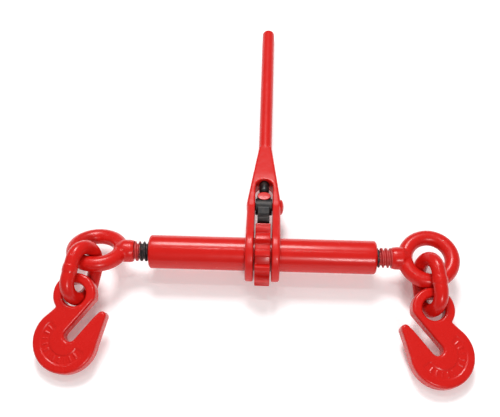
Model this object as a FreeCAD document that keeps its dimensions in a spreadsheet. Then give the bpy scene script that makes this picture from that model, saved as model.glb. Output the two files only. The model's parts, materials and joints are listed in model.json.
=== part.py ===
import FreeCAD, Part
import math
import os
import Sketcher

# Ratchet load binder: a tubular barrel with an eye screw of opposite hand in each end,
# a ratchet gear fixed round its middle, a forged handle with a pawl, and a chain link
# and a grab hook on each eye. Millimetres, +Z up, the binder lying on its surface.

doc = FreeCAD.newDocument("load_binder")
sheet = doc.addObject("Spreadsheet::Sheet", "sizes")

SIZES = [
    # barrel
    ("barrel_length", 250.0), ("barrel_radius", 18.5), ("barrel_wall", 3.5), ("barrel_edge", 2.0),
    ("nut_length", 22.0), ("nut_mouth", 1.5), ("nut_wall", 4.0),
    ("nut_radius", "=barrel_radius - barrel_wall"),
    # gear
    ("gear_depth", 10.0), ("tooth_height", 6.1), ("gear_width", 16.5), ("gear_teeth", 12.0),
    ("tooth_tip_width", 5.0), ("tooth_root_width", 7.4), ("tooth_sink", 2.0),
    ("gear_root", "=barrel_radius + gear_depth"), ("gear_radius", "=gear_root + tooth_height"),
    # screws
    ("screw_major", "=nut_radius - nut_wall"), ("thread_depth", 2.5), ("thread_pitch", 5.0),
    ("screw_core", "=screw_major - thread_depth"), ("thread_gap", 0.35), ("thread_sink", 0.3),
    ("thread_foot_half", "=thread_pitch * 0.38"), ("thread_crest_half", "=thread_pitch * 0.15"),
    ("thread_shown", 17.0), ("screw_inner_end", 20.0), ("journal_length", 12.3), ("journal_step", 2.5),
    ("journal_radius", "=screw_core - journal_step"),
    ("collar_wall", 1.5), ("collar_radius", "=screw_major + collar_wall"), ("collar_length", 15.0),
    ("collar_step", 4.0), ("collar_body", 8.25), ("collar_root", 9.0), ("collar_root_radius", 6.8),
    ("ring_radius", 26.0), ("ring_bar", 8.5),
    ("ring_centre", "=barrel_length / 2 + thread_shown + collar_length + ring_radius"),
    ("washer_thick", 4.0), ("washer_gap", 0.3), ("washer_bore_gap", 0.1), ("washer_rim_gap", 0.4),
    ("stop_pin_radius", 1.5), ("stop_pin_short", 5.0),
    ("stop_pin_length", "=2 * (nut_radius - stop_pin_short)"),
    # handle
    ("handle_reach", 352.0), ("gear_side_gap", 1.75), ("cheek_thick", 9.0),
    ("slot_width", "=gear_width + 2 * gear_side_gap"), ("yoke_width", "=slot_width + 2 * cheek_thick"),
    ("yoke_wall", 11.5), ("handle_ring_radius", "=barrel_radius + yoke_wall"), ("handle_bore_gap", 0.1),
    ("pawl_stand", 30.4), ("pawl_pin_y", "=gear_radius + pawl_stand"),
    ("slot_beyond", 33.0), ("slot_top", "=pawl_pin_y + slot_beyond"),
    ("cheek_half", 10.0), ("cheek_start", "=pawl_pin_y - 5"), ("taper_start", "=pawl_pin_y + 3"),
    ("bore_depth", 36.0), ("bore_end", 16.0), ("bar_start", "=slot_top + bore_depth + bore_end"),
    ("bar_radius", 7.75), ("bar_clear", 1.5), ("tip_round", 3.0), ("handle_edge", 2.5), ("tip_lift", 0.45),
    ("handle_drop", "=asin((gear_radius - bar_radius - tip_lift) / handle_reach) / 1deg"),
    # pawl group
    ("pawl_pin_radius", 4.5), ("pin_bore_gap", 0.05), ("pin_head_radius", "=2 * pawl_pin_radius"),
    ("pin_head_height", 4.0), ("pin_peen_radius", "=pawl_pin_radius + 1.5"), ("pin_peen_height", 0.8),
    ("hub_wall", 5.0), ("pawl_hub_radius", "=pawl_pin_radius + hub_wall"), ("pawl_side_gap", 0.4),
    ("blade_inset", 1.5), ("pawl_blade_width", "=gear_width - 2 * blade_inset"), ("pawl_reach", 34.0),
    ("pawl_spread", 20.5), ("pawl_claw_angle", 13.0), ("claw_edge", 1.5), ("pawl_inner", 29.0),
    ("pawl_cam_radius", 17.0), ("pawl_cam_half", 6.5),
    ("pad_across", 7.2), ("pad_along", 5.8), ("pad_high", 4.6), ("pad_back", 8.5), ("pad_up", 5.2),
    ("plunger_radius", 5.8), ("plunger_bore_gap", 0.1), ("plunger_nose_gap", 0.6), ("plunger_length", 30.0),
    ("plunger_wall", 1.2), ("plunger_cup_radius", "=plunger_radius - plunger_wall"),
    ("plunger_head", 13.0),
    ("spring_wire", 0.6), ("spring_turns", 9.0), ("spring_gap", 0.5), ("spring_seat", 0.1),
    # link
    ("link_wire", 15.5), ("link_play", 5.0), ("link_slack", 13.25),
    ("link_width", "=2 * link_wire + max(2 * ring_bar; hook_thick) + link_play"),
    ("link_length", "=2 * link_wire + 2 * ring_bar + eye_wall + link_slack"),
    ("link_touch", 0.3), ("weld_bulge", 0.7), ("weld_length", 7.0),
    # hook
    ("eye_play", 5.0), ("eye_hole", "=link_wire / 2 + eye_play"), ("eye_wall", 10.75),
    ("eye_outer", "=eye_hole + eye_wall"), ("hook_thick", 16.5), ("bowl_radius", 35.0),
    ("bowl_across", -1.2), ("bowl_drop", 26.5), ("bowl_down", "=eye_outer + bowl_drop"),
    ("slot_across", 3.6), ("slot_drop", 20.5), ("slot_down", "=eye_outer + slot_drop"),
    ("hook_slot", 12.6), ("slot_lean", 56.5), ("slot_run", 90.0),
    ("tip_across", 34.3), ("tip_rise", 4.5), ("tip_down", "=eye_outer - tip_rise"),
    ("tip_radius", 4.8), ("hook_edge", 3.0),
    # how the eyes, links and hooks lie: degrees, and millimetres of slack
    ("left_ring_roll", -25.06), ("left_contact", 76.97), ("left_link_yaw", -11.39), ("left_link_dip", 18.95),
    ("left_link_twist", 122.53), ("left_slack_x", -3.90), ("left_slack_y", 1.49), ("left_slack_z", -0.37),
    ("left_hook_tilt", 16.22), ("left_hook_roll", -6.72), ("left_hook_turn", 6.10),
    ("left_hook_below", -3.37), ("left_hook_beside", -0.15), ("left_hook_proud", 0.31),
    ("right_ring_roll", 2.84), ("right_contact", 67.34), ("right_link_yaw", 5.84), ("right_link_dip", 13.28),
    ("right_link_twist", 65.07), ("right_slack_x", -11.65), ("right_slack_y", 5.27), ("right_slack_z", 1.59),
    ("right_hook_tilt", 10.78), ("right_hook_roll", 6.58), ("right_hook_turn", -7.19),
    ("right_hook_below", 0.08), ("right_hook_beside", 1.09), ("right_hook_proud", 0.13),
]
for row, (alias, value) in enumerate(SIZES, start=1):
    sheet.set("A%d" % row, alias)
    sheet.setAlias("B%d" % row, alias)
for row, (alias, value) in enumerate(SIZES, start=1):
    sheet.set("B%d" % row, value if isinstance(value, str) else repr(value))
doc.recompute()


def size(alias):
    """The plain number in the cell with this alias."""
    return float(sheet.get(alias))


def cell(text):
    """An expression with each size's name pointed at the sheet."""
    words = sorted((alias for alias, value in SIZES), key=len, reverse=True)
    out = ""
    at = 0
    while at < len(text):
        found = None
        if text[at].isalpha() and (at == 0 or not (text[at - 1].isalnum() or text[at - 1] == "_")):
            for word in words:
                end = at + len(word)
                after = text[end:end + 1]
                if text.startswith(word, at) and not (after.isalnum() or after == "_"):
                    found = word
                    break
        if found:
            out += "sizes." + found
            at += len(found)
        else:
            out += text[at]
            at += 1
    return out


def number(text):
    """The value of such an expression, worked out from the sheet."""
    probe = doc.getObject("probe") or doc.addObject("App::FeaturePython", "probe")
    if not hasattr(probe, "value"):
        probe.addProperty("App::PropertyFloat", "value")
    probe.setExpression("value", cell(text))
    probe.recompute()
    return probe.value


def settle(feature):
    """Recomputes and stops on a feature that failed."""
    doc.recompute()
    if "Invalid" in feature.State or "Error" in feature.State or feature.Shape.isNull():
        raise RuntimeError("%s failed: %s" % (feature.Name, feature.State))
    return feature


def new_body(name):
    body = doc.addObject("PartDesign::Body", name)
    body.Label = name
    return body


def new_sketch(body, role, name):
    """An empty sketch on one of the body's own origin planes."""
    plane = [f for f in body.Origin.OriginFeatures if f.Role == role][0]
    sketch = body.newObject("Sketcher::SketchObject", name)
    sketch.AttachmentSupport = (plane, "")
    sketch.MapMode = "FlatFace"
    return sketch


def bind(sketch, kind, refs, text):
    """Adds one dimension to the sketch and ties it to the sheet."""
    value = number(text)
    index = sketch.addConstraint(Sketcher.Constraint(kind, *(list(refs) + [value])))
    label = "d%d" % index
    sketch.renameConstraint(index, label)
    sketch.setExpression("Constraints." + label, cell(text))


def circle(sketch, across, up, radius):
    """A circle whose centre and radius are expressions."""
    centre = FreeCAD.Vector(number(across), number(up), 0)
    axis = FreeCAD.Vector(0, 0, 1)
    item = sketch.addGeometry(Part.Circle(centre, axis, number(radius)), False)
    bind(sketch, "Radius", (item,), radius)
    if across == "0" and up == "0":
        sketch.addConstraint(Sketcher.Constraint("Coincident", item, 3, -1, 1))
    else:
        bind(sketch, "DistanceX", (-1, 1, item, 3), across)
        bind(sketch, "DistanceY", (-1, 1, item, 3), up)


def polygon(sketch, corners):
    """A closed polygon whose corners are pairs of expressions."""
    spots = [FreeCAD.Vector(number(a), number(b), 0) for a, b in corners]
    count = len(spots)
    items = []
    for k in range(count):
        line = Part.LineSegment(spots[k], spots[(k + 1) % count])
        items.append(sketch.addGeometry(line, False))
    for k in range(count):
        sketch.addConstraint(Sketcher.Constraint("Coincident", items[k], 2, items[(k + 1) % count], 1))
    for k in range(count):
        bind(sketch, "DistanceX", (-1, 1, items[k], 1), corners[k][0])
        bind(sketch, "DistanceY", (-1, 1, items[k], 1), corners[k][1])


def pad(body, sketch, length, name):
    """Adds material on both sides of the sketch's plane."""
    feature = body.newObject("PartDesign::Pad", name)
    feature.Profile = sketch
    feature.Midplane = True
    feature.setExpression("Length", cell(length))
    return settle(feature)


def pocket(body, sketch, length, name):
    """Takes material away on both sides of the sketch's plane."""
    before = body.Shape.Volume
    feature = body.newObject("PartDesign::Pocket", name)
    feature.Profile = sketch
    feature.Midplane = True
    feature.setExpression("Length", cell(length))
    settle(feature)
    if body.Shape.Volume > before - 1.0:
        raise RuntimeError(name + " cuts nothing")
    return feature


def turn(body, sketch, axis, name, cut=False):
    """A full revolution, or groove, about one of the sketch's own axes."""
    before = body.Shape.Volume if cut else 0.0
    kind = "PartDesign::Groove" if cut else "PartDesign::Revolution"
    feature = body.newObject(kind, name)
    feature.Profile = sketch
    feature.ReferenceAxis = (sketch, [axis])
    feature.Angle = 360.0
    settle(feature)
    if cut and body.Shape.Volume > before - 1.0:
        raise RuntimeError(name + " cuts nothing")
    return feature


def round_edges(body, radius, name, wanted):
    """Fillets the edges of the body's shape that wanted() picks."""
    base = body.Tip
    names = ["Edge%d" % (k + 1) for k, edge in enumerate(base.Shape.Edges) if wanted(edge)]
    feature = body.newObject("PartDesign::Fillet", name)
    feature.Base = (base, names)
    feature.setExpression("Radius", cell(radius))
    return settle(feature)


def rod(name, radius, height, base, axis):
    """A plain cylinder from a point along an axis, sizes as expressions."""
    item = doc.addObject("Part::Cylinder", name)
    item.setExpression("Radius", cell(radius))
    item.setExpression("Height", cell(height))
    turned = FreeCAD.Rotation(FreeCAD.Vector(0, 0, 1), FreeCAD.Vector(*axis))
    item.Placement = FreeCAD.Placement(FreeCAD.Vector(*base), turned)
    return item


def cone(name, radius1, radius2, height, base, axis):
    item = doc.addObject("Part::Cone", name)
    item.setExpression("Radius1", cell(radius1))
    item.setExpression("Radius2", cell(radius2))
    item.setExpression("Height", cell(height))
    turned = FreeCAD.Rotation(FreeCAD.Vector(0, 0, 1), FreeCAD.Vector(*axis))
    item.Placement = FreeCAD.Placement(FreeCAD.Vector(*base), turned)
    return item


def fuse(name, items):
    joined = doc.addObject("Part::MultiFuse", name)
    joined.Shapes = items
    joined.Refine = False
    joined.Label = name
    doc.recompute()
    return joined


def cut(name, base, tool):
    taken = doc.addObject("Part::Cut", name)
    taken.Base = base
    taken.Tool = tool
    taken.Label = name
    doc.recompute()
    return taken


pieces = []

# Barrel tube: one revolved section, its ends chamfered, a nut's seat in each end.
body = new_body("barrel_tube")
section = new_sketch(body, "XY_Plane", "barrel_section")
polygon(section, [
    ("-barrel_length / 2", "barrel_radius - barrel_wall"),
    ("barrel_length / 2", "barrel_radius - barrel_wall"),
    ("barrel_length / 2", "barrel_radius - barrel_edge"),
    ("barrel_length / 2 - barrel_edge", "barrel_radius"),
    ("-barrel_length / 2 + barrel_edge", "barrel_radius"),
    ("-barrel_length / 2", "barrel_radius - barrel_edge"),
])
turn(body, section, "H_Axis", "barrel_turn")
pieces.append(body)

# Ratchet gear: a disc bored to the barrel with square ridged teeth all round.
body = new_body("ratchet_gear")
disc = new_sketch(body, "YZ_Plane", "gear_disc")
circle(disc, "0", "0", "gear_root")
pad(body, disc, "gear_width", "gear_pad")
tooth = new_sketch(body, "YZ_Plane", "gear_tooth")
polygon(tooth, [
    ("gear_root - tooth_sink", "-tooth_root_width / 2"),
    ("gear_root", "-tooth_root_width / 2"),
    ("gear_radius", "-tooth_tip_width / 2"),
    ("gear_radius", "tooth_tip_width / 2"),
    ("gear_root", "tooth_root_width / 2"),
    ("gear_root - tooth_sink", "tooth_root_width / 2"),
])
first = pad(body, tooth, "gear_width", "tooth_pad")
ring = body.newObject("PartDesign::PolarPattern", "gear_teeth_ring")
ring.Originals = [first]
ring.Axis = ([f for f in body.Origin.OriginFeatures if f.Role == "X_Axis"][0], [""])
ring.Angle = 360.0
ring.setExpression("Occurrences", cell("gear_teeth"))
body.Tip = ring
doc.recompute()
hole = new_sketch(body, "YZ_Plane", "gear_bore")
circle(hole, "0", "0", "barrel_radius")
pocket(body, hole, "gear_width + 2", "gear_bore_cut")
pieces.append(body)

# Handle: two rings round the barrel, cheeks, an arched slot between them and a round bar.
body = new_body("handle")
plan = new_sketch(body, "YZ_Plane", "handle_rings")
circle(plan, "0", "0", "handle_ring_radius")
pad(body, plan, "yoke_width", "handle_ring_pad")
reach_out = "sqrt(cheek_start * cheek_start + cheek_half * cheek_half)"
touch_at = "(atan(cheek_half / cheek_start) + acos(handle_ring_radius / %s))" % reach_out
plan = new_sketch(body, "YZ_Plane", "handle_cheeks")
polygon(plan, [
    ("handle_ring_radius * cos(%s)" % touch_at, "handle_ring_radius * sin(%s)" % touch_at),
    ("handle_ring_radius * cos(%s)" % touch_at, "-handle_ring_radius * sin(%s)" % touch_at),
    ("cheek_start", "-cheek_half"),
    ("slot_top + 8", "-cheek_half"),
    ("bar_start", "-bar_radius + 0.4"),
    ("bar_start", "bar_radius - 0.4"),
    ("slot_top + 8", "cheek_half"),
    ("cheek_start", "cheek_half"),
])
pad(body, plan, "yoke_width", "handle_cheek_pad")
for side, mark in ((1, "right"), (-1, "left")):
    plan = new_sketch(body, "XY_Plane", "handle_taper_" + mark)
    flip = "" if side > 0 else "-"
    polygon(plan, [
        (flip + "yoke_width / 2", "taper_start"),
        (flip + "(yoke_width / 2 + 5)", "taper_start"),
        (flip + "(yoke_width / 2 + 5)", "bar_start + 5"),
        (flip + "(bar_radius - 0.4)", "bar_start + 5"),
        (flip + "(bar_radius - 0.4)", "bar_start"),
    ])
    pocket(body, plan, "handle_ring_radius * 2 + 4", "handle_taper_cut_" + mark)


def on_rim(edge):
    """The long edges round the outside of the yoke."""
    return edge.BoundBox.YLength > 0.5


round_edges(body, "handle_edge", "handle_rounding", on_rim)
plan = new_sketch(body, "XY_Plane", "handle_slot")
polygon(plan, [
    ("-slot_width / 2", "-handle_ring_radius - 2"),
    ("slot_width / 2", "-handle_ring_radius - 2"),
    ("slot_width / 2", "slot_top - slot_width / 2"),
    ("-slot_width / 2", "slot_top - slot_width / 2"),
])
pocket(body, plan, "handle_ring_radius * 2 + 4", "handle_slot_cut")
plan = new_sketch(body, "XY_Plane", "handle_arch")
circle(plan, "0", "slot_top - slot_width / 2", "slot_width / 2")
pocket(body, plan, "handle_ring_radius * 2 + 4", "handle_arch_cut")
bore_free = "barrel_radius + handle_bore_gap"
grip = new_sketch(body, "XY_Plane", "handle_bar")
polygon(grip, [
    ("0", "slot_top + 14"),
    ("bar_radius * 0.6", "slot_top + 14"),
    ("bar_radius", "bar_start + bar_clear"),
    ("bar_radius", "handle_reach - tip_round"),
    ("bar_radius - tip_round * 0.3", "handle_reach - tip_round * 0.3"),
    ("bar_radius - tip_round", "handle_reach"),
    ("0", "handle_reach"),
])
turn(body, grip, "V_Axis", "handle_bar_turn")
plan = new_sketch(body, "YZ_Plane", "handle_bore")
circle(plan, "0", "0", bore_free)
pocket(body, plan, "yoke_width + 4", "handle_bore_cut")
plan = new_sketch(body, "YZ_Plane", "handle_pin_hole")
circle(plan, "pawl_pin_y", "0", "pawl_pin_radius")
pocket(body, plan, "yoke_width + 4", "handle_pin_cut")
plan = new_sketch(body, "XY_Plane", "plunger_bore")
polygon(plan, [
    ("0", "slot_top - slot_width / 2"),
    ("plunger_radius + plunger_bore_gap", "slot_top - slot_width / 2"),
    ("plunger_radius + plunger_bore_gap", "slot_top + bore_depth"),
    ("0", "slot_top + bore_depth"),
])
turn(body, plan, "V_Axis", "plunger_bore_cut", cut=True)
pieces.append(body)

# Pawl: hub the width of the slot, a narrower blade with a claw for each direction,
# a two-flat cam towards the plunger, and an oval thumb pad on top.
body = new_body("pawl")
plan = new_sketch(body, "YZ_Plane", "pawl_hub")
circle(plan, "0", "0", "pawl_hub_radius")
pad(body, plan, "slot_width - 2 * pawl_side_gap", "pawl_hub_pad")
plan = new_sketch(body, "YZ_Plane", "pawl_blade")
claw_back = "((pawl_spread + pawl_claw_angle) * 1deg)"
claw_heel = "((pawl_spread + 5) * 1deg)"
claw_tip = "(pawl_spread * 1deg)"
claw_root = "((pawl_spread - 2) * 1deg)"
claw = [
    ("-4", "pawl_hub_radius * 0.8"),
    ("-pawl_inner * 0.55", "pawl_hub_radius * 0.95"),
    ("-(pawl_reach - claw_edge) * cos%s" % claw_back, "(pawl_reach - claw_edge) * sin%s" % claw_back),
    ("-pawl_reach * cos%s" % claw_heel, "pawl_reach * sin%s" % claw_heel),
    ("-pawl_reach * cos%s" % claw_tip, "pawl_reach * sin%s" % claw_tip),
    ("-pawl_inner * cos%s" % claw_root, "pawl_inner * sin%s" % claw_root),
]
other_claw = [(along, "-" + up) for along, up in reversed(claw)]
polygon(plan, claw + [("-pawl_inner", "0")] + other_claw)
pad(body, plan, "pawl_blade_width", "pawl_blade_pad")
plan = new_sketch(body, "YZ_Plane", "pawl_cam")
polygon(plan, [
    ("0", "-pawl_hub_radius * 0.9"),
    ("pawl_cam_radius * 0.86", "-pawl_cam_half"),
    ("pawl_cam_radius", "0"),
    ("pawl_cam_radius * 0.86", "pawl_cam_half"),
    ("0", "pawl_hub_radius * 0.9"),
])
pad(body, plan, "pawl_blade_width", "pawl_cam_pad")
dome = body.newObject("PartDesign::AdditiveEllipsoid", "pawl_pad")
dome.setExpression("Radius1", cell("pad_high"))
dome.setExpression("Radius2", cell("pad_across"))
dome.setExpression("Radius3", cell("pad_along"))
dome.setExpression("Placement.Base.y", cell("pad_back"))
dome.setExpression("Placement.Base.z", cell("pad_up"))
settle(dome)
plan = new_sketch(body, "YZ_Plane", "pawl_hole")
circle(plan, "0", "0", "pawl_pin_radius + pin_bore_gap")
pocket(body, plan, "slot_width + 4", "pawl_hole_cut")
pieces.append(body)

# Pawl pin: a rivet through both cheeks, domed head on the right, peened on the left.
body = new_body("pawl_pin")
plan = new_sketch(body, "XY_Plane", "pin_section")
polygon(plan, [
    ("-yoke_width / 2 - pin_peen_height", "0"),
    ("-yoke_width / 2 - pin_peen_height", "pin_peen_radius - 1"),
    ("-yoke_width / 2", "pin_peen_radius"),
    ("-yoke_width / 2", "pawl_pin_radius"),
    ("yoke_width / 2", "pawl_pin_radius"),
    ("yoke_width / 2", "pin_head_radius"),
    ("yoke_width / 2 + pin_head_height * 0.35", "pin_head_radius"),
    ("yoke_width / 2 + pin_head_height * 0.8", "pin_head_radius * 0.72"),
    ("yoke_width / 2 + pin_head_height", "pin_head_radius * 0.4"),
    ("yoke_width / 2 + pin_head_height", "0"),
])
turn(body, plan, "H_Axis", "pin_turn")
pieces.append(body)

# Detent plunger: a round-nosed cup that slides in the handle, and its spring behind it.
nose = "(pawl_pin_y + pawl_cam_radius + plunger_nose_gap)"
body = new_body("detent_plunger")
plan = new_sketch(body, "XY_Plane", "plunger_section")
polygon(plan, [
    ("0", nose),
    ("plunger_radius * 0.5", nose + " + 0.8"),
    ("plunger_radius * 0.86", nose + " + 2.6"),
    ("plunger_radius", nose + " + 5"),
    ("plunger_radius", nose + " + plunger_length"),
    ("plunger_cup_radius", nose + " + plunger_length"),
    ("plunger_cup_radius", nose + " + plunger_head"),
    ("0", nose + " + plunger_head"),
])
turn(body, plan, "V_Axis", "plunger_turn")
pieces.append(body)

coil = doc.addObject("Part::Helix", "spring_path")
coil.setExpression("Radius", cell("plunger_cup_radius - spring_gap - spring_wire"))
coil_room = "(slot_top + bore_depth - %s - plunger_head - 2 * (spring_wire + spring_seat))" % nose
coil.setExpression("Height", cell(coil_room))
coil.setExpression("Pitch", cell(coil_room + " / spring_turns"))
wire = doc.addObject("Part::Circle", "spring_wire_section")
wire.setExpression("Radius", cell("spring_wire"))
start_x = number("plunger_cup_radius - spring_gap - spring_wire")
wire.Placement = FreeCAD.Placement(
    FreeCAD.Vector(start_x, 0, 0),
    FreeCAD.Rotation(FreeCAD.Vector(0, 0, 1), FreeCAD.Vector(0, 1, 0)))
spring = doc.addObject("Part::Sweep", "plunger_spring")
spring.Sections = [wire]
spring.Spine = (coil, ["Edge1"])
spring.Solid = True
spring.Frenet = True
spring.Label = "plunger_spring"
spring.Placement = FreeCAD.Placement(
    FreeCAD.Vector(0, number(nose + " + plunger_head + spring_wire + spring_seat"), 0),
    FreeCAD.Rotation(FreeCAD.Vector(0, 0, 1), FreeCAD.Vector(0, 1, 0)))
doc.recompute()
pieces.append(spring)


def thread_ridge(name, side, foot, crest, foot_half, crest_half, start, length):
    """A helical ridge along the barrel's axis: right-handed on the right, left-handed on the left."""
    path = doc.addObject("Part::Helix", name + "_path")
    path.setExpression("Pitch", cell("thread_pitch"))
    path.Height = length
    path.setExpression("Radius", cell(foot))
    path.LocalCoord = "Right-handed" if side > 0 else "Left-handed"
    corners = doc.addObject("Part::Polygon", name + "_section")
    low = number(foot)
    high = number(crest)
    corners.Nodes = [
        FreeCAD.Vector(low, 0, -foot_half),
        FreeCAD.Vector(high, 0, -crest_half),
        FreeCAD.Vector(high, 0, crest_half),
        FreeCAD.Vector(low, 0, foot_half),
    ]
    corners.Close = True
    ridge = doc.addObject("Part::Sweep", name)
    ridge.Sections = [corners]
    ridge.Spine = (path, ["Edge1"])
    ridge.Solid = True
    ridge.Frenet = True
    along_axis = FreeCAD.Rotation(FreeCAD.Vector(0, 0, 1), FreeCAD.Vector(side, 0, 0))
    off_seam = FreeCAD.Rotation(FreeCAD.Vector(1, 0, 0), 35.0)
    ridge.Placement = FreeCAD.Placement(FreeCAD.Vector(side * start, 0, 0), off_seam.multiply(along_axis))
    doc.recompute()
    return ridge


for side, mark in ((-1, "left"), (1, "right")):
    along = (side, 0, 0)
    pitch = size("thread_pitch")
    gap = size("thread_gap")
    half = size("barrel_length") / 2
    nut_inner = half - size("nut_length")
    shoulder = size("screw_inner_end") + size("journal_length")
    collar = half + size("thread_shown")
    foot_half = size("thread_foot_half")
    crest_half = size("thread_crest_half")

    # End nut: fills the end of the tube, threaded inside.
    blank = rod(mark + "_nut_blank", "nut_radius", "nut_length", (side * nut_inner, 0, 0), along)
    drill = rod(mark + "_nut_drill", "screw_core + thread_gap", "nut_length + 4",
                (side * (nut_inner - 2), 0, 0), along)
    mouth = cone(mark + "_nut_mouth", "screw_core", "screw_major + nut_mouth", "nut_mouth * 2",
                 (side * (half - 2 * size("nut_mouth") + 0.01), 0, 0), along)
    turns_in = math.floor((nut_inner - shoulder - pitch) / pitch) - 1
    groove_start = shoulder + pitch * 0.7 + turns_in * pitch
    groove = thread_ridge(mark + "_nut_groove", side, "screw_core - thread_sink", "screw_major + thread_gap",
                          foot_half + gap, crest_half + gap, groove_start,
                          math.ceil((half - groove_start) / pitch + 1.0) * pitch)
    bored = cut(mark + "_nut_bored", blank, drill)
    mouthed = cut(mark + "_nut_mouthed", bored, mouth)
    pieces.append(cut(mark + "_end_nut", mouthed, groove))

    # Eye screw: journal, threaded shank, stepped collar and the ring, one forging.
    journal = rod(mark + "_journal", "journal_radius", "journal_length + 1",
                  (side * size("screw_inner_end"), 0, 0), along)
    shank = doc.addObject("Part::Cylinder", mark + "_shank")
    shank.setExpression("Radius", cell("screw_core"))
    reach = "barrel_length / 2 + thread_shown + 2"
    shank.setExpression("Height", cell(reach + " - screw_inner_end - journal_length"))
    shank.Placement = FreeCAD.Placement(
        FreeCAD.Vector(side * shoulder, 0, 0),
        FreeCAD.Rotation(FreeCAD.Vector(0, 0, 1), FreeCAD.Vector(side, 0, 0)))
    ridge_start = shoulder + pitch * 0.7
    ridge = thread_ridge(mark + "_thread", side, "screw_core - thread_sink", "screw_major",
                         foot_half, crest_half, ridge_start,
                         math.floor((collar - 1.0 - ridge_start) / pitch * 2) / 2 * pitch)
    step = cone(mark + "_collar_step", "screw_major + 0.5", "collar_radius", "collar_step",
                (side * collar, 0, 0), along)
    neck = rod(mark + "_collar", "collar_radius", "collar_body",
               (side * (collar + size("collar_step")), 0, 0), along)
    root = cone(mark + "_collar_root", "collar_radius", "collar_root_radius", "collar_root",
                (side * (collar + size("collar_step") + size("collar_body")), 0, 0), along)
    ring = doc.addObject("Part::Torus", mark + "_ring")
    ring.setExpression("Radius1", cell("ring_radius"))
    ring.setExpression("Radius2", cell("ring_bar"))
    roll = math.radians(size(mark + "_ring_roll"))
    across = FreeCAD.Vector(side, 0, 0)
    front = FreeCAD.Vector(0, -math.cos(roll), -math.sin(roll))
    ring.Placement = FreeCAD.Placement(
        FreeCAD.Vector(side * size("ring_centre"), 0, 0),
        FreeCAD.Rotation(across, front, across.cross(front), "XYZ"))
    solid = fuse(mark + "_eye_solid", [journal, shank, step, neck, root, ring])
    threaded = fuse(mark + "_eye_threaded", [solid, ridge])
    pin_spot = size("screw_inner_end") + size("journal_length") - size("washer_thick")
    pin_spot = side * (pin_spot - 2 * size("washer_gap") - size("stop_pin_radius"))
    pin_hole = rod(mark + "_stop_hole", "stop_pin_radius", "stop_pin_length + 4",
                   (pin_spot, 0, -size("stop_pin_length") / 2 - 2), (0, 0, 1))
    pieces.append(cut(mark + "_eye_screw", threaded, pin_hole))

    # Stop washer: slides in the tube with the screw and meets the nut at full travel.
    rim = rod(mark + "_washer_rim", "nut_radius - washer_rim_gap", "washer_thick",
              (side * (shoulder - size("washer_gap") - size("washer_thick")), 0, 0), along)
    eye = rod(mark + "_washer_eye", "journal_radius + washer_bore_gap", "washer_thick + 2",
              (side * (shoulder - size("washer_gap") - size("washer_thick") - 1), 0, 0), along)
    pieces.append(cut(mark + "_stop_washer", rim, eye))

    # Stop pin: driven across the journal behind the washer.
    pin = rod(mark + "_stop_pin", "stop_pin_radius", "stop_pin_length",
              (pin_spot, 0, -size("stop_pin_length") / 2), (0, 0, 1))
    pin.Label = mark + "_stop_pin"
    pieces.append(pin)

    # Chain link: two half rings and two straight runs of one wire, with the weld's bulge.
    bend = "(link_width - link_wire) / 2"
    run = "(link_length - link_width)"
    parts = []
    for end in (-1, 1):
        bow = doc.addObject("Part::Torus", "%s_bow_%s" % (mark, "near" if end < 0 else "far"))
        bow.setExpression("Radius1", cell(bend))
        bow.setExpression("Radius2", cell("link_wire / 2"))
        bow.Angle3 = 180.0
        bow.Placement = FreeCAD.Placement(
            FreeCAD.Vector(end * number(run + " / 2"), 0, 0),
            FreeCAD.Rotation(FreeCAD.Vector(0, 0, 1), -90.0 * end))
        parts.append(bow)
        parts.append(rod("%s_run_%s" % (mark, "near" if end < 0 else "far"), "link_wire / 2", run,
                         (-number(run + " / 2"), end * number(bend), 0), (1, 0, 0)))
    parts.append(rod(mark + "_weld", "link_wire / 2 + weld_bulge", "weld_length",
                     (-size("weld_length") / 2, number(bend), 0), (1, 0, 0)))
    link = fuse(mark + "_link", parts)

    turn_to = math.radians(size(mark + "_contact"))
    touch = FreeCAD.Vector(side * size("ring_centre"), 0, 0)
    touch += (across * math.cos(turn_to) + front * math.sin(turn_to)) * size("ring_radius")
    yaw = math.radians(size(mark + "_link_yaw"))
    dip = math.radians(size(mark + "_link_dip"))
    lead = FreeCAD.Vector(math.sin(yaw) * math.cos(dip), -math.cos(yaw) * math.cos(dip), -math.sin(dip))
    wide = FreeCAD.Vector(1, 0, 0) - lead * lead.x
    wide.normalize()
    wide = FreeCAD.Rotation(lead, size(mark + "_link_twist")).multVec(wide)
    centre = touch + lead * (number("link_length / 2 - link_wire - ring_bar - link_touch"))
    centre += FreeCAD.Vector(size(mark + "_slack_x"), size(mark + "_slack_y"), size(mark + "_slack_z"))
    link.Placement = FreeCAD.Placement(centre, FreeCAD.Rotation(lead, wide, lead.cross(wide), "XYZ"))
    pieces.append(link)
    crown = centre + lead * number("link_length / 2 - link_wire / 2")

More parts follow.
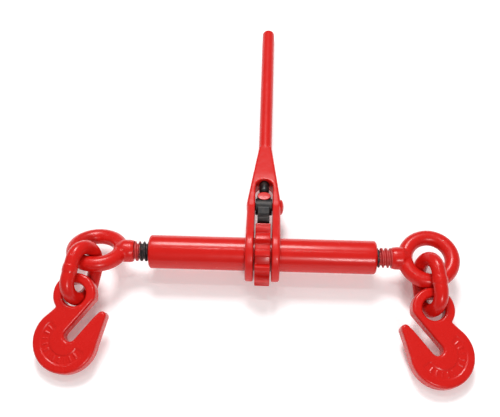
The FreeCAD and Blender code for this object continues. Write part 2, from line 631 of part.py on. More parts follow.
    # Grab hook: eye, shank, bowl and tip in one plate-like forging with a narrow throat.
    flip = "" if side < 0 else "-"
    body = new_body(mark + "_grab_hook")
    plan = new_sketch(body, "XY_Plane", mark + "_hook_eye")
    circle(plan, "0", "0", "eye_outer")
    pad(body, plan, "hook_thick", mark + "_hook_eye_pad")
    plan = new_sketch(body, "XY_Plane", mark + "_hook_bowl")
    circle(plan, flip + "bowl_across", "-bowl_down", "bowl_radius")
    pad(body, plan, "hook_thick", mark + "_hook_bowl_pad")
    plan = new_sketch(body, "XY_Plane", mark + "_hook_shank")
    polygon(plan, [
        (flip + "(-eye_outer * 0.70)", "-eye_outer * 0.62"),
        (flip + "(bowl_across - bowl_radius * 0.82)", "-bowl_down + bowl_radius * 0.57"),
        (flip + "bowl_across", "-bowl_down"),
        (flip + "(bowl_across + bowl_radius * 0.6)", "-bowl_down + bowl_radius * 0.4"),
        (flip + "(eye_outer * 0.92)", "-eye_outer * 0.35"),
        (flip + "(eye_outer * 0.5)", "0"),
        (flip + "(-eye_outer * 0.5)", "0"),
    ])
    pad(body, plan, "hook_thick", mark + "_hook_shank_pad")
    plan = new_sketch(body, "XY_Plane", mark + "_hook_tip")
    polygon(plan, [
        (flip + "(tip_across + tip_radius)", "-tip_down"),
        (flip + "(bowl_across + bowl_radius)", "-bowl_down"),
        (flip + "(bowl_across + bowl_radius * 0.5)", "-bowl_down - bowl_radius * 0.5"),
        (flip + "bowl_across", "-bowl_down"),
        (flip + "(slot_across + 4)", "-slot_down"),
        (flip + "(tip_across - tip_radius * 0.83)", "-tip_down + tip_radius * 0.56"),
    ])
    pad(body, plan, "hook_thick", mark + "_hook_tip_pad")
    plan = new_sketch(body, "XY_Plane", mark + "_hook_tip_end")
    circle(plan, flip + "tip_across", "-tip_down", "tip_radius")
    pad(body, plan, "hook_thick", mark + "_hook_tip_end_pad")
    plan = new_sketch(body, "XY_Plane", mark + "_hook_throat")
    aside = "sin(slot_lean * 1deg) * hook_slot / 2"
    above = "cos(slot_lean * 1deg) * hook_slot / 2"
    run_aside = "cos(slot_lean * 1deg) * slot_run"
    run_above = "sin(slot_lean * 1deg) * slot_run"
    polygon(plan, [
        (flip + "(slot_across - %s)" % aside, "-slot_down + " + above),
        (flip + "(slot_across + %s)" % aside, "-slot_down - " + above),
        (flip + "(slot_across + %s + %s)" % (aside, run_aside), "-slot_down - %s + %s" % (above, run_above)),
        (flip + "(slot_across - %s + %s)" % (aside, run_aside), "-slot_down + %s + %s" % (above, run_above)),
    ])
    pocket(body, plan, "hook_thick + 2", mark + "_hook_throat_cut")
    plan = new_sketch(body, "XY_Plane", mark + "_hook_throat_end")
    circle(plan, flip + "slot_across", "-slot_down", "hook_slot / 2")
    pocket(body, plan, "hook_thick + 2", mark + "_hook_throat_end_cut")
    plan = new_sketch(body, "XY_Plane", mark + "_hook_hole")
    circle(plan, "0", "0", "eye_hole")
    pocket(body, plan, "hook_thick + 2", mark + "_hook_hole_cut")
    level = size("hook_thick") / 2

    def on_face(edge):
        box = edge.BoundBox
        return box.ZLength < 0.01 and abs(abs(box.ZMin) - level) < 0.01

    round_edges(body, "hook_edge", mark + "_hook_rounding", on_face)
    lean_back = math.radians(size(mark + "_hook_tilt"))
    roll = math.radians(size(mark + "_hook_roll"))
    up = FreeCAD.Vector(math.sin(roll), -math.sin(lean_back), math.cos(lean_back))
    up.normalize()
    high = up.cross(FreeCAD.Vector(1, 0, 0))
    high.normalize()
    flat = high.cross(up)
    swing = math.radians(size(mark + "_hook_turn"))
    eye_up = high * math.cos(swing) + flat * math.sin(swing)
    eye_side = flat * math.cos(swing) - high * math.sin(swing)
    spot = crown - eye_up * size(mark + "_hook_below") - eye_side * size(mark + "_hook_beside")
    spot += up * size(mark + "_hook_proud")
    body.Placement = FreeCAD.Placement(spot, FreeCAD.Rotation(eye_side, eye_up, up, "XYZ"))
    pieces.append(body)

# The handle and what it carries lie back until its tip nearly touches the surface, and the
# gear is turned with them, so that the pawl stands between two teeth.
drop = FreeCAD.Rotation(FreeCAD.Vector(1, 0, 0), -size("handle_drop"))
on_pin = FreeCAD.Placement(FreeCAD.Vector(0, size("pawl_pin_y"), 0), FreeCAD.Rotation())
for piece in pieces:
    if piece.Label in ("pawl", "pawl_pin"):
        piece.Placement = on_pin
    if piece.Label in ("ratchet_gear", "handle", "pawl", "pawl_pin", "detent_plunger", "plunger_spring"):
        piece.Placement = FreeCAD.Placement(FreeCAD.Vector(0, 0, 0), drop).multiply(piece.Placement)
doc.recompute()

# The origin is the middle of the whole binder's outline, on the surface it lies on.
whole = FreeCAD.BoundBox()
for piece in pieces:
    whole.add(piece.Shape.optimalBoundingBox(False, False))
shift = FreeCAD.Vector(-(whole.XMin + whole.XMax) / 2, -(whole.YMin + whole.YMax) / 2, -whole.ZMin)
for piece in pieces:
    piece.Placement = FreeCAD.Placement(shift, FreeCAD.Rotation()).multiply(piece.Placement)
doc.recompute()
print("shift", [round(v, 4) for v in shift], "box", [round(v, 3) for v in (
    whole.XLength, whole.YLength, whole.ZLength)])

for item in doc.Objects:
    if "Invalid" in item.State or "Error" in item.State:
        raise RuntimeError("%s did not compute: %s" % (item.Name, item.State))
for piece in pieces:
    if piece.Shape.isNull() or not piece.Shape.isValid():
        raise RuntimeError(piece.Label + " is not a valid shape")
    if len(piece.Shape.Solids) != 1:
        raise RuntimeError("%s has %d solids" % (piece.Label, len(piece.Shape.Solids)))

os.makedirs("parts", exist_ok=True)
for piece in pieces:
    piece.Shape.exportStep("parts/%s.step" % piece.Label)
    print(piece.Label, round(piece.Shape.Volume, 1))
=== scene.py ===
import json
import math

import bmesh
import bpy
import numpy as np
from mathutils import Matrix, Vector


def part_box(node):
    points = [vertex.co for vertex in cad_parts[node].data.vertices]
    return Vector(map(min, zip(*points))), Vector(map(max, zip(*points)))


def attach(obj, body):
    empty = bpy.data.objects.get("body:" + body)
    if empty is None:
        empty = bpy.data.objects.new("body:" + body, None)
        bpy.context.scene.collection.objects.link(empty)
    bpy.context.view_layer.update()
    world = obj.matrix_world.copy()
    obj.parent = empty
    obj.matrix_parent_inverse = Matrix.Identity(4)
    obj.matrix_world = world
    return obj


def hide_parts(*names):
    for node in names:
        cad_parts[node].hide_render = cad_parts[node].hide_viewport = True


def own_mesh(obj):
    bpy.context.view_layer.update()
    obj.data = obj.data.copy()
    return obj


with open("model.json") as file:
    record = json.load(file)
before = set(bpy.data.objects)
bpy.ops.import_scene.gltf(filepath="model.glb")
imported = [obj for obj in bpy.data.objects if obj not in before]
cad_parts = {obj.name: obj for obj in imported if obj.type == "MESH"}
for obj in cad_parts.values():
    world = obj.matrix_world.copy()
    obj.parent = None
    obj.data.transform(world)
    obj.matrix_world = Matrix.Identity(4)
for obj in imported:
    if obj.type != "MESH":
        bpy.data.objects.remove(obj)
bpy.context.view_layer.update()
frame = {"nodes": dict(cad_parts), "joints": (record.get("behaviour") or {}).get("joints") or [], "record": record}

# ---------------------------------------------------------------------------
# Barrel tube: a drawn steel tube, its ends turned to a small chamfer, with one
# thick coat of red enamel. It lies along X and everything else is hung on it.
# ---------------------------------------------------------------------------
tube_low, tube_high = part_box("barrel_tube")
centre = (np.array(tube_low) + np.array(tube_high)) / 2
tube_half = (tube_high[0] - tube_low[0]) / 2
tube_radius = (tube_high[2] - tube_low[2]) / 2
tube_bore = tube_radius - 0.0035


def skin(name, points, round_first=False, round_second=False):
    """A mesh over a grid of points, rows by columns, with either way closed into a loop.

    Each cell of the grid is one four-sided face; doubled points at poles are merged."""
    rows, columns = points.shape[:2]
    first = np.arange(rows if round_first else rows - 1)
    second = np.arange(columns if round_second else columns - 1)
    a, b = np.meshgrid(first, second, indexing="ij")
    a2, b2 = (a + 1) % rows, (b + 1) % columns
    corners = np.stack([a * columns + b, a * columns + b2, a2 * columns + b2, a2 * columns + b], axis=-1)
    mesh = bpy.data.meshes.new(name)
    mesh.from_pydata(points.reshape(-1, 3).tolist(), [], corners.reshape(-1, 4).tolist())
    work = bmesh.new()
    work.from_mesh(mesh)
    bmesh.ops.remove_doubles(work, verts=work.verts, dist=1e-7)
    bmesh.ops.recalc_face_normals(work, faces=work.faces)
    work.to_mesh(mesh)
    work.free()
    mesh.shade_smooth()
    piece = bpy.data.objects.new(name, mesh)
    bpy.context.scene.collection.objects.link(piece)
    return piece


def lathe(name, profile, origin, along, steps=96, closed=False):
    """A profile of (distance along, radius) pairs turned once about a line.

    A point is origin + along * distance + radius * (cos angle * one side + sin angle * the other)."""
    along = np.array(along, float) / np.linalg.norm(along)
    side = np.cross(along, (0.0, 0.0, 1.0) if abs(along[2]) < 0.9 else (0.0, 1.0, 0.0))
    side /= np.linalg.norm(side)
    other = np.cross(along, side)
    angle = np.linspace(0.0, 2 * math.pi, steps, endpoint=False)
    ring = np.cos(angle)[:, None] * side + np.sin(angle)[:, None] * other
    profile = np.array(profile, float)
    points = (np.array(origin) + profile[:, 0, None, None] * along
              + profile[:, 1, None, None] * ring[None, :, :])
    return skin(name, points, round_first=closed, round_second=True)


def rounded(corners, radius, steps=5):
    """A closed polyline in a plane with each corner swept by a quadratic curve that starts and
    ends at the given distance from the corner: the start weighs (1 - t) squared, the corner
    twice t times (1 - t), and the end t squared."""
    corners = np.array(corners, float)
    count = len(corners)
    out = []
    for k in range(count):
        here = corners[k]
        before, after = corners[k - 1] - here, corners[(k + 1) % count] - here
        reach_b = min(radius, np.linalg.norm(before) * 0.49)
        reach_a = min(radius, np.linalg.norm(after) * 0.49)
        start = here + before / np.linalg.norm(before) * reach_b
        end = here + after / np.linalg.norm(after) * reach_a
        t = np.linspace(0.0, 1.0, steps)[:, None]
        out.append((1 - t) ** 2 * start + 2 * t * (1 - t) * here + t ** 2 * end)
    return np.concatenate(out)


def spaced(profile, step):
    """The same polyline with points added so that none of its runs is longer than step."""
    out = [profile[:1]]
    for a, b in zip(profile[:-1], profile[1:]):
        parts = max(1, int(np.ceil(np.linalg.norm(b - a) / step)))
        t = np.linspace(0.0, 1.0, parts + 1)[1:, None]
        out.append(a + (b - a) * t)
    return np.concatenate(out)


class Value:
    """A shader socket that adds a Math node for each operator used on it."""

    def __init__(self, tree, socket):
        self.tree = tree
        self.socket = socket

    def math(self, operation, first, second):
        return self.tree.node("ShaderNodeMath", {"operation": operation}, {0: first, 1: second})

    def __add__(self, other):
        return self.math("ADD", self, other)

    def __radd__(self, other):
        return self.math("ADD", other, self)

    def __sub__(self, other):
        return self.math("SUBTRACT", self, other)

    def __rsub__(self, other):
        return self.math("SUBTRACT", other, self)

    def __mul__(self, other):
        return self.math("MULTIPLY", self, other)

    def __rmul__(self, other):
        return self.math("MULTIPLY", other, self)

    def above(self, edge, width):
        """0 below the edge and 1 above it, with a soft step of that width."""
        return self.tree.node("ShaderNodeMapRange", {"clamp": True, "interpolation_type": "SMOOTHSTEP"},
                              {0: self, 1: edge - width / 2, 2: edge + width / 2, 3: 0.0, 4: 1.0})


class Finish:
    """A material being made: its node tree, its Principled shader and Object coordinates."""

    def __init__(self, name):
        self.material = bpy.data.materials.new(name)
        self.material.use_nodes = True
        self.nodes = self.material.node_tree.nodes
        self.links = self.material.node_tree.links
        self.shader = self.nodes["Principled BSDF"]
        self.place = self.node("ShaderNodeTexCoord", {}, {}, "Object")

    def node(self, kind, settings, values, output=0):
        """Adds a node, makes its settings first, then fills or links its inputs."""
        added = self.nodes.new(kind)
        for name, value in settings.items():
            setattr(added, name, value)
        for name, value in values.items():
            self.put(added.inputs[name], value)
        return Value(self, added.outputs[output])

    def put(self, socket, value):
        """Links a value to a socket, or sets a plain number or colour on it."""
        if isinstance(value, Value):
            self.links.new(value.socket, socket)
        else:
            socket.default_value = value

    def noise(self, scale, detail=3.0, roughness=0.5):
        """Fractal noise on Object coordinates, about 0 to 1, scale in cells per metre."""
        return self.node("ShaderNodeTexNoise", {}, {
            "Vector": self.place, "Scale": scale, "Detail": detail, "Roughness": roughness}, "Fac")

    def blend(self, mask, first, second):
        """first where the mask is 0 and second where it is 1, for colours."""
        return self.node("ShaderNodeMix", {"data_type": "RGBA", "clamp_factor": True},
                         {0: mask, 6: first, 7: second}, 2)

    def axis(self, direction, origin):
        """How far a point lies along a direction from an origin, in metres."""
        moved = self.node("ShaderNodeVectorMath", {"operation": "SUBTRACT"},
                          {0: self.place, 1: tuple(origin)})
        return self.node("ShaderNodeVectorMath", {"operation": "DOT_PRODUCT"},
                         {0: moved, 1: tuple(direction)}, "Value")

    def bump(self, height, strength, distance):
        """A height field that turns the normal; distance is its real size in metres."""
        lifted = self.node("ShaderNodeBump", {},
                           {"Strength": strength, "Distance": distance, "Height": height})
        self.put(self.shader.inputs["Normal"], lifted)

    def use(self, **values):
        """Sets or links the Principled shader's inputs; underscores stand for spaces."""
        for name, value in values.items():
            self.put(self.shader.inputs[name.replace("_", " ")], value)
        return self.material


def wear(piece, material):
    """Puts one material on every slot of a piece or CAD node."""
    slots = piece.data.materials
    if len(slots) == 0:
        slots.append(material)
    for k in range(len(slots)):
        slots[k] = material


red_bright = (0.58, 0.009, 0.006, 1.0)
red_deep = (0.36, 0.004, 0.003, 1.0)
red_speck = (0.22, 0.005, 0.005, 1.0)


def enamel(name, lumps, gloss):
    """Red enamel over steel: a tone that drifts over centimetres, an orange-peel skin,
    low lumps where the steel under it was forged, and specks of dust dried into it."""
    paint = Finish(name)
    drift = paint.noise(22.0, 2.0)
    cloud = paint.noise(95.0, 4.0, 0.6)
    peel = paint.noise(900.0, 2.0)
    forged_lumps = paint.noise(140.0, 3.0, 0.55)
    specks = paint.noise(1900.0, 1.0).above(0.76, 0.05)
    tone = (drift * 0.6 + cloud * 0.4).above(0.5, 0.55)
    colour = paint.blend(tone, red_deep, red_bright)
    colour = paint.blend(0.78 + cloud * 0.2, colour, red_bright)
    colour = paint.blend(specks * 0.5, colour, red_speck)
    paint.bump(forged_lumps * lumps + peel * 0.10 + cloud * lumps * 0.5 - specks * 0.1, 0.55, 0.0006)
    return paint.use(Base_Color=colour, Roughness=gloss + cloud * 0.16 + specks * 0.2,
                     Metallic=0.0, Specular_IOR_Level=0.24,
                     Coat_Weight=0.10, Coat_Roughness=0.06)


tube_chamfer = 0.0020
section = rounded([
    (-tube_half, tube_bore), (-tube_half, tube_radius - tube_chamfer),
    (-tube_half + tube_chamfer, tube_radius), (tube_half - tube_chamfer, tube_radius),
    (tube_half, tube_radius - tube_chamfer), (tube_half, tube_bore),
], 0.0009)
tube = lathe("tube", spaced(section, 0.010), centre, (1, 0, 0), steps=128, closed=True)
wear(tube, enamel("tube_enamel", lumps=0.10, gloss=0.16))
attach(tube, "barrel")
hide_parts("barrel_tube")

# ---------------------------------------------------------------------------
# End nuts: threaded steel plugs pressed and welded into the tube's ends. Only
# their faces show, sprayed with the tube, and bare dark steel inside the thread.
# ---------------------------------------------------------------------------
for side, mark in ((-1, "left"), (1, "right")):
    nut_paint = Finish(mark + "_nut_finish")
    outward = nut_paint.axis((side, 0, 0), centre)
    grain = nut_paint.noise(700.0, 3.0)
    spray = (outward + grain * 0.0012).above(tube_half - 0.0012, 0.0012)
    nut_paint.bump(grain, 0.3, 0.0003)
    colour = nut_paint.blend(spray, (0.045, 0.030, 0.028, 1.0), (0.42, 0.015, 0.012, 1.0))
    nut_look = nut_paint.use(Base_Color=colour, Roughness=0.45 - spray * 0.15,
                             Metallic=0.75 - spray * 0.75)
    wear(frame["nodes"][mark + "_end_nut"], nut_look)

# ---------------------------------------------------------------------------
# Ratchet gear: a thick steel ring cut with twelve ridged teeth and fixed round
# the middle of the tube, then painted with it. Its faces are lightly chamfered.
# ---------------------------------------------------------------------------
gear_low, gear_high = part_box("ratchet_gear")
gear_tip = 0.0346
gear_root = 0.0285
gear_half = (gear_high[0] - gear_low[0]) / 2
gear_mid = (gear_high[0] + gear_low[0]) / 2
gear_teeth = 12
tip_degrees = 3.7
root_degrees = 7.7
mount = [m for m in frame["record"]["mounts"] if m["name"] == "handle_grip"][0]
grip_way = np.array(mount["axis"])


def toothed_ring(name, teeth, root, tip, bore, half_width, chamfer, phase):
    """A ring whose outer radius swings between root and tip with the angle from a first tooth.

    Inside each tooth's pitch the radius is the tip's near the tooth's middle and the root's
    beyond its flank, with a smooth step between; across the width the radius is drawn in at
    both edges by a rounded chamfer."""
    angle = np.linspace(0.0, 2 * math.pi, teeth * 48, endpoint=False)
    turned = (angle - phase) * teeth / (2 * math.pi)
    off = np.abs((turned + 0.5) % 1.0 - 0.5) * 360.0 / teeth
    step = np.clip((off - tip_degrees) / (root_degrees - tip_degrees), 0.0, 1.0)
    lift = 1.0 - step * step * (3.0 - 2.0 * step)
    outer = root + (tip - root) * lift
    turn = np.linspace(0.0, math.pi / 2, 5)
    across = np.concatenate([[-half_width], -half_width + chamfer * (1 - np.cos(turn)),
                             half_width - chamfer * (1 - np.cos(turn[::-1])), [half_width]])
    draw = np.concatenate([[1.0], 1 - np.sin(turn), 1 - np.sin(turn[::-1]), [1.0]])
    points = np.zeros((len(across), len(angle), 3))
    radius = outer[None, :] - draw[:, None] * chamfer
    radius[0, :] = bore
    radius[-1, :] = bore
    points[:, :, 0] = across[:, None]
    points[:, :, 1] = radius * np.cos(angle)
    points[:, :, 2] = radius * np.sin(angle)
    points += np.array([gear_mid, centre[1], centre[2]])
    return skin(name, points, round_first=True, round_second=True)


gear_bore = tube_radius + 0.00002
first_tooth = math.atan2(grip_way[2], grip_way[1])
gear = toothed_ring("gear", gear_teeth, gear_root, gear_tip, gear_bore, gear_half, 0.0011, first_tooth)
wear(gear, enamel("gear_enamel", lumps=0.35, gloss=0.24))
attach(gear, "barrel")
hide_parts("ratchet_gear")

# ---------------------------------------------------------------------------
# Handle: one drop forging, two rings round the tube joined by cheeks to a round
# bar. Its edges are soft from the die and the paint is a little more satin.
# ---------------------------------------------------------------------------


def forged(name, node, grain, passes, keep=None):
    """A soft-edged copy of a CAD node: its mesh is merged, rebuilt on an even lattice of the
    given size, and each point is then moved part of the way to the mean of its neighbours."""
    mesh = frame["nodes"][node].data.copy()
    work = bmesh.new()
    work.from_mesh(mesh)
    bmesh.ops.remove_doubles(work, verts=work.verts, dist=1e-6)
    work.to_mesh(mesh)
    work.free()
    rough = bpy.data.objects.new(name + "_rough", mesh)
    bpy.context.scene.collection.objects.link(rough)
    lattice = rough.modifiers.new("lattice", "REMESH")
    lattice.mode = "VOXEL"
    lattice.voxel_size = grain
    soft = rough.modifiers.new("soft", "SMOOTH")
    soft.factor = 0.5
    soft.iterations = passes
    seen = rough.evaluated_get(bpy.context.evaluated_depsgraph_get())
    done = bpy.data.meshes.new_from_object(seen)
    bpy.data.objects.remove(rough)
    if keep is not None:
        work = bmesh.new()
        work.from_mesh(done)
        spots = np.array([v.co for v in work.verts])
        gone = [v for v, stays in zip(work.verts, keep(spots)) if not stays]
        bmesh.ops.delete(work, geom=gone, context="VERTS")
        work.to_mesh(done)
        work.free()
    done.materials.clear()
    done.shade_smooth()
    piece = bpy.data.objects.new(name, done)
    bpy.context.scene.collection.objects.link(piece)
    return piece


def spots_of(piece):
    """The piece's points as one array."""
    flat = np.empty(len(piece.data.vertices) * 3, dtype=np.float32)
    piece.data.vertices.foreach_get("co", flat)
    return flat.reshape(-1, 3).astype(float)


def put_spots(piece, spots):
    """Moves the piece's points to the places in an array."""
    piece.data.vertices.foreach_set("co", spots.astype(np.float32).ravel())
    piece.data.update()


grip_radius = mount["dims"]["r_mm"] / 1000
handle = forged("forged_handle", "handle", 0.0009, 5)
spots = spots_of(handle)
from_axis = spots - centre
reach = from_axis @ grip_way
radial = from_axis - reach[:, None] * grip_way
distance = np.linalg.norm(radial, axis=1)
bar_from, bar_to = 0.158, reach.max() - 0.006
true_bar = (reach > bar_from) & (reach < bar_to)
distance[distance < 1e-9] = 1e-9
exact = centre + reach[:, None] * grip_way + radial * (grip_radius / distance)[:, None]
spots[true_bar] = exact[true_bar]
put_spots(handle, spots)
wear(handle, enamel("handle_enamel", lumps=0.75, gloss=0.27))
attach(handle, "handle")
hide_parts("handle")

# ---------------------------------------------------------------------------
# Pawl and its pin: a black oxided steel pawl with a claw for each direction,
# held by a rivet with a domed head on the right and a peened end on the left.
# ---------------------------------------------------------------------------


def black_steel(name, shine=0.38):
    """Oil-blackened steel: near black, browner in patches, finely scratched, with a faint sheen."""
    steel = Finish(name)
    patch = steel.noise(160.0, 4.0, 0.6)
    fine = steel.noise(1500.0, 2.0)
    colour = steel.blend(patch.above(0.55, 0.3), (0.010, 0.010, 0.011, 1.0), (0.040, 0.030, 0.026, 1.0))
    steel.bump(patch * 0.6 + fine * 0.2, 0.4, 0.0004)
    return steel.use(Base_Color=colour, Roughness=shine + patch * 0.2, Metallic=0.35)


pawl = forged("forged_pawl", "pawl", 0.0006, 3)
wear(pawl, black_steel("pawl_black"))
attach(pawl, "pawl")
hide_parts("pawl")

tilt = [j for j in frame["joints"] if j["name"] == "pawl_tilt"][0]
pivot = np.array(tilt["pos_m"])
up_way = np.cross((1.0, 0.0, 0.0), grip_way)


def oval_post(name, middle, half_x, half_y, foot, top, edge):
    """An upright oval post: straight sides from its foot, a rounded rim of the given radius and
    a flat top, closed above and below. Each ring is an ellipse whose half lengths are the
    outer ones less one inset."""
    bend = np.linspace(0.0, math.pi / 2, 7)
    inset = np.concatenate([[0.0, 0.0], edge * (1 - np.cos(bend)), [0.0]])
    shut = np.concatenate([[1.0], np.zeros(8), [1.0]])
    lift = np.concatenate([[foot, foot], top - edge + edge * np.sin(bend), [top]])
    angle = np.linspace(0.0, 2 * math.pi, 72, endpoint=False)
    wide = (half_x - inset) * (1 - shut)
    deep = (half_y - inset) * (1 - shut)
    points = (middle + (wide[:, None] * np.cos(angle))[..., None] * np.array([1.0, 0.0, 0.0])
              + (deep[:, None] * np.sin(angle))[..., None] * grip_way
              + lift[:, None, None] * up_way)
    return skin(name, points, round_second=True)


post_at = pivot + grip_way * 0.0088
post = oval_post("pawl_thumb_post", post_at, 0.0078, 0.0057, 0.0030, 0.0096, 0.0010)
wear(post, black_steel("post_black"))
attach(post, "pawl")
cap = oval_post("pawl_thumb_paint", post_at, 0.00745, 0.00535, 0.0088, 0.00985, 0.0006)
wear(cap, enamel("post_enamel", lumps=0.3, gloss=0.24))
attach(cap, "pawl")

pin_low, pin_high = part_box("pawl_pin")
cheek = 0.019
pin_radius, head_radius, peen_radius = 0.0045, 0.0090, 0.0060
head = pin_high[0] - centre[0] - cheek
peen = centre[0] - cheek - pin_low[0]
bend = np.linspace(0.0, math.pi / 2, 12)
dome = np.stack([cheek + head * np.sin(bend), head_radius * np.cos(bend)], axis=1)
peened = np.stack([-cheek - peen * np.sin(bend[::-1]), peen_radius * np.cos(bend[::-1])], axis=1)
shaft = [(-cheek, pin_radius), (cheek, pin_radius), (cheek, head_radius - 0.0002)]
pin_profile = np.concatenate([peened, shaft, dome])
pin_at = np.array([centre[0], pivot[1], pivot[2]])
pin = lathe("rivet_pin", pin_profile, pin_at, (1, 0, 0), steps=64)
wear(pin, enamel("pin_enamel", lumps=0.4, gloss=0.2))
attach(pin, "handle")
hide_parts("pawl_pin")

# ---------------------------------------------------------------------------
# Detent plunger and spring: a black round-nosed plunger that slides in the
# handle behind the pawl, with a bright coil spring inside it.
# ---------------------------------------------------------------------------
plunger_node = np.array([v.co for v in frame["nodes"]["detent_plunger"].data.vertices])
plunger_reach = (plunger_node - centre) @ grip_way
nose_at = plunger_reach.min()
tail_at = plunger_reach.max()
floor_at = nose_at + 0.013
plunger_radius, cup_radius, nose_long = 0.0058, 0.0046, 0.0050
bend = np.linspace(0.0, math.pi / 2, 14)
nose_curve = np.stack([nose_at + nose_long * (1 - np.cos(bend)), plunger_radius * np.sin(bend)], axis=1)
cup = np.array([(tail_at, plunger_radius), (tail_at, cup_radius),
                (floor_at, cup_radius), (floor_at, 0.0)])
plunger = lathe("plunger", np.concatenate([nose_curve, cup]), centre, grip_way, steps=64)
wear(plunger, black_steel("plunger_black", 0.25))
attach(plunger, "plunger")
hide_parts("detent_plunger")


def bare_steel(name):
    """Plain steel with a film of oil: grey, streaked, with small dark stains."""
    steel = Finish(name)
    streak = steel.noise(420.0, 4.0, 0.6)
    colour = steel.blend(streak.above(0.6, 0.25), (0.42, 0.42, 0.43, 1.0), (0.20, 0.18, 0.17, 1.0))
    steel.bump(streak, 0.2, 0.0002)
    return steel.use(Base_Color=colour, Roughness=0.28 + streak * 0.25, Metallic=1.0)


spring_node = np.array([v.co for v in frame["nodes"]["plunger_spring"].data.vertices])
spring_reach = (spring_node - centre) @ grip_way
spring_wire = 0.0006
spring_turns = 9.0


def coil(name, start, end, radius, wire, turns):
    """A round wire wound about the handle's axis.

    At turn t the wire's middle is start + (end - start) * t along the axis, at the given
    radius; each ring of the wire lies in the plane of that radius and the coil's slope."""
    t = np.linspace(0.0, 1.0, int(turns * 40) + 1)
    angle = 2 * math.pi * turns * t
    out = np.cos(angle)[:, None] * np.array([1.0, 0.0, 0.0]) + np.sin(angle)[:, None] * up_way
    middle = centre + (start + (end - start) * t)[:, None] * grip_way + radius * out
    forward = np.gradient(middle, axis=0)
    forward /= np.linalg.norm(forward, axis=1)[:, None]
    third = np.cross(forward, out)
    around = np.linspace(0.0, 2 * math.pi, 16, endpoint=False)
    points = (middle[:, None, :] + wire * (np.cos(around)[None, :, None] * out[:, None, :]
              + np.sin(around)[None, :, None] * third[:, None, :]))
    points = np.concatenate([np.repeat(middle[:1, None, :], 16, axis=1), points,
                             np.repeat(middle[-1:, None, :], 16, axis=1)])
    return skin(name, points, round_second=True)


spring_start, spring_end = spring_reach.min() + spring_wire, spring_reach.max() - spring_wire
spring = coil("coil_spring", spring_start, spring_end, 0.0035, spring_wire, spring_turns)
wear(spring, bare_steel("spring_steel_look"))
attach(spring, "handle")
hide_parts("plunger_spring")
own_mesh(spring)

# ---------------------------------------------------------------------------
# Eye screws: forged eyes on threaded shanks, right hand on the right and left
# hand on the left. The red spray covers the eye and collar and dusts the thread.
# ---------------------------------------------------------------------------
thread_major = 0.0110
thread_depth = 0.0025
thread_pitch = 0.0050
shoulder = 0.0323
shown = 0.017
step_at = tube_half + shown
inner_parts = bare_steel("inner_steel_look")


def thread(name, side, start, end):
    """A screw thread as one surface over (place along, angle).

    The radius is a smoothed trapezoid wave of the phase, which is the place along over the
    pitch less the angle over a turn: crest, flank, root, flank. Both ends are closed at the axis."""
    along = np.linspace(start, end, int((end - start) / 0.00028))
    angle = np.linspace(0.0, 2 * math.pi, 72, endpoint=False)
    first = shoulder / thread_pitch + 0.7
    twist = (angle - math.radians(35.0) * side) / (2 * math.pi)
    phase = (along[:, None] / thread_pitch - first - twist[None, :] + 0.5) % 1.0 - 0.5
    flank = np.clip((np.abs(phase) - 0.14) / (0.37 - 0.14), 0.0, 1.0)
    flank = flank * flank * (3.0 - 2.0 * flank) * 0.5 + flank * 0.5
    radius = thread_major - thread_depth * flank
    points = np.zeros((len(along), len(angle), 3))
    points[:, :, 0] = side * along[:, None]
    points[:, :, 1] = radius * np.cos(angle)
    points[:, :, 2] = radius * np.sin(angle) * side
    ends = np.zeros((1, len(angle), 3))
    ends[:, :, 0] = side * start
    far = ends.copy()
    far[:, :, 0] = side * end
    return skin(name, np.concatenate([ends, points, far]) + centre, round_second=True)


for side, mark, dusted in ((-1, "left", 0.0105), (1, "right", 0.0035)):
    node = mark + "_eye_screw"
    body = mark + "_eye"

    def outside(spots):
        """Keeps the eye and collar, from just inside the collar's step outwards."""
        return side * (spots[:, 0] - centre[0]) > step_at - 0.0006

    eye = forged(mark + "_forged_eye", node, 0.0008, 4, keep=outside)
    wear(eye, enamel(mark + "_eye_enamel", lumps=0.7, gloss=0.20))
    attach(eye, body)
    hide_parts(node)

    shank = thread(mark + "_thread_shank", side, shoulder + 0.0007, step_at + 0.002)
    rolled = Finish(mark + "_thread_finish")
    outward = rolled.axis((side, 0, 0), centre)
    grime = rolled.noise(330.0, 4.0, 0.6)
    fine = rolled.noise(1700.0, 2.0)
    spray = (outward + (grime - 0.5) * 0.012).above(tube_half + dusted, 0.0022)
    base = rolled.blend(grime.above(0.5, 0.3), (0.018, 0.015, 0.016, 1.0), (0.075, 0.050, 0.050, 1.0))
    colour = rolled.blend(spray * 0.92, base, (0.48, 0.020, 0.018, 1.0))
    rolled.bump(grime * 0.7 + fine * 0.3, 0.5, 0.0004)
    look = rolled.use(Base_Color=colour, Roughness=0.36 + grime * 0.25, Metallic=0.6 - spray * 0.6)
    wear(shank, look)
    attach(shank, body)
    journal = [(0.0200, 0.0), (0.0200, 0.0056), (0.0204, 0.0060), (0.0324, 0.0060),
               (0.0324, 0.0084), (0.0334, 0.0084)]
    neck = lathe(mark + "_journal", [(side * a, r) for a, r in journal], centre, (1, 0, 0), steps=48)
    wear(neck, inner_parts)
    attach(neck, body)
    wear(frame["nodes"][mark + "_stop_washer"], inner_parts)
    wear(frame["nodes"][mark + "_stop_pin"], inner_parts)

# ---------------------------------------------------------------------------
# Links: one chain link through each eye, bent from round wire and butt-welded
# on one side, so a low collar of weld stands on that run under the paint.
# ---------------------------------------------------------------------------
for mark in ("left", "right"):
    link = forged(mark + "_welded_link", mark + "_link", 0.0008, 4)
    wear(link, enamel(mark + "_link_enamel", lumps=0.45, gloss=0.17))
    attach(link, mark + "_link")
    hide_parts(mark + "_link")

# ---------------------------------------------------------------------------
# Grab hooks: flat drop forgings with an eye, a thick bowl and a narrow throat.
# Each face has a shallow arc-shaped panel round the bowl with plain raised bars.
# ---------------------------------------------------------------------------


def smooth_step(x):
    """Three x squared less two x cubed, with x held between 0 and 1."""
    x = np.clip(x, 0.0, 1.0)
    return x * x * (3.0 - 2.0 * x)


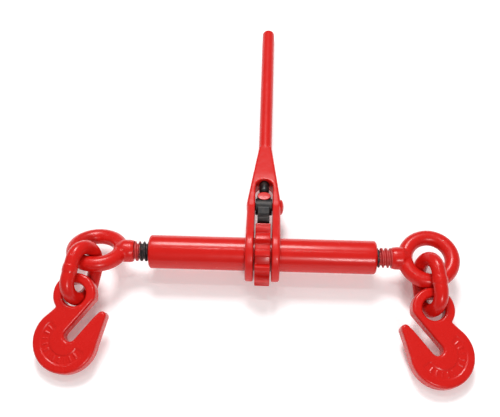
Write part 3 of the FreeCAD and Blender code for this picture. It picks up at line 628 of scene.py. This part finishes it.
lean = math.radians(56.5)
panel_depth = 0.00085
bar_rise = 0.00070
bar_count = 11
bar_first, bar_apart = -214.0, 17.0
bar_inner, bar_outer, bar_edge = 0.0172, 0.0246, 0.0010
for side, mark in ((-1, "left"), (1, "right")):
    swing = [j for j in frame["joints"] if j["name"] == mark + "_hook_swing"][0]
    throat = [m for m in frame["record"]["mounts"] if m["name"] == mark + "_hook_throat"][0]
    eye_at = np.array(swing["pos_m"])
    face_way = np.array(swing["axis"])
    throat_way = np.array(throat["axis"])
    square = np.cross(face_way, throat_way) * (1 if side < 0 else -1)
    across = throat_way * math.cos(lean) - square * math.sin(lean)
    upward = throat_way * math.sin(lean) + square * math.cos(lean)
    hook = forged(mark + "_forged_hook", mark + "_grab_hook", 0.0008, 5)
    spots = spots_of(hook)
    rest = spots - eye_at
    u, v, n = rest @ across, rest @ upward, rest @ face_way
    bowl = np.stack([u + 0.0012, v + 0.0500], axis=1)
    ring = np.linalg.norm(bowl, axis=1)
    bearing = np.degrees(np.arctan2(bowl[:, 1], bowl[:, 0]))
    bearing = np.where(bearing > 90.0, bearing - 360.0, bearing)
    ends = smooth_step((bearing + 232.0) / 10.0) * smooth_step((-18.0 - bearing) / 10.0)
    band = smooth_step((ring - 0.0150) / 0.0016) * smooth_step((0.0268 - ring) / 0.0016) * ends
    tall = smooth_step((ring - bar_inner) / bar_edge) * smooth_step((bar_outer - ring) / bar_edge)
    bars = np.zeros(len(u))
    for k in range(bar_count):
        at = bar_first + k * bar_apart
        wide = 2.6 + 1.2 * math.sin(k * 2.1)
        slim = smooth_step((wide - np.abs(bearing - at)) / 1.6)
        bars = np.maximum(bars, slim * tall)
    on_face = smooth_step((np.abs(n) - 0.0068) / 0.0008)
    depth = (bar_rise * bars - panel_depth) * band * on_face
    put_spots(hook, spots + (np.sign(n) * depth)[:, None] * face_way)
    wear(hook, enamel(mark + "_hook_enamel", lumps=0.75, gloss=0.19))
    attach(hook, mark + "_hook")
    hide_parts(mark + "_grab_hook")

# ---------------------------------------------------------------------------
# Studio: a white floor under the binder, a soft light overhead and one in front,
# a long thin strip at the left, two small lamps for sparkle, and the camera.
# ---------------------------------------------------------------------------
floor_grid = np.full((9, 9, 3), -0.0002)
lines = np.linspace(-4, 4, 9)
floor_grid[:, :, 0], floor_grid[:, :, 1] = np.meshgrid(lines, lines, indexing="ij")
floor = skin("studio_floor", floor_grid)
paper = Finish("white_paper")
fibre = paper.noise(60.0, 3.0)
paper.bump(fibre, 0.02, 0.0002)
wear(floor, paper.use(Base_Color=paper.blend(fibre, (0.93, 0.925, 0.925, 1.0), (0.96, 0.955, 0.955, 1.0)),
                      Roughness=0.8, Emission_Color=(1.0, 0.985, 0.985, 1.0), Emission_Strength=0.14))


def lamp(name, place, size, power, long=None):
    """An area light at a place given from the tube's middle, facing the tube's middle."""
    data = bpy.data.lights.new(name, "AREA")
    data.shape = "RECTANGLE" if long else "SQUARE"
    data.size = size
    if long:
        data.size_y = long
    data.energy = power
    made = bpy.data.objects.new(name, data)
    made.location = Vector(centre) + Vector(place)
    aim = Vector(centre) + Vector((0.0, 0.02, -0.03)) - made.location
    made.rotation_euler = aim.to_track_quat("-Z", "Y").to_euler()
    bpy.context.scene.collection.objects.link(made)


lamp("overhead_softbox", (-0.15, 1.15, 1.9), 0.7, 37.0)
lamp("front_fill", (0.45, -1.7, 1.5), 0.5, 21.0)
lamp("left_strip", (-0.9, 0.35, 1.15), 0.06, 1.6, long=0.9)
lamp("spark_a", (-0.14, 0.10, 1.35), 0.04, 0.9)
lamp("spark_b", (0.10, 0.10, 1.35), 0.04, 0.9)

world = bpy.data.worlds.new("pale_room")
bpy.context.scene.world = world
world.use_nodes = True
world.node_tree.nodes["Background"].inputs["Color"].default_value = (1.0, 0.995, 0.99, 1.0)
world.node_tree.nodes["Background"].inputs["Strength"].default_value = 0.30

elevation = math.radians(58.5)
azimuth = math.radians(1.81)
aim_at = Vector(centre) + Vector((-0.01565, 0.0593, 0.0))
back_off = Vector((math.sin(azimuth) * math.cos(elevation), -math.cos(azimuth) * math.cos(elevation),
                   math.sin(elevation)))
camera = bpy.data.objects.new("camera", bpy.data.cameras.new("camera"))
camera.data.lens = 63.1
camera.data.sensor_width = 36.0
camera.data.sensor_fit = "HORIZONTAL"
camera_distance = 1.0
camera.location = aim_at + back_off * camera_distance
camera.rotation_euler = (-back_off).to_track_quat("-Z", "Y").to_euler()
bpy.context.scene.collection.objects.link(camera)
bpy.context.scene.camera = camera

view = bpy.context.scene.view_settings
view.view_transform = "Standard"
view.look = "None"
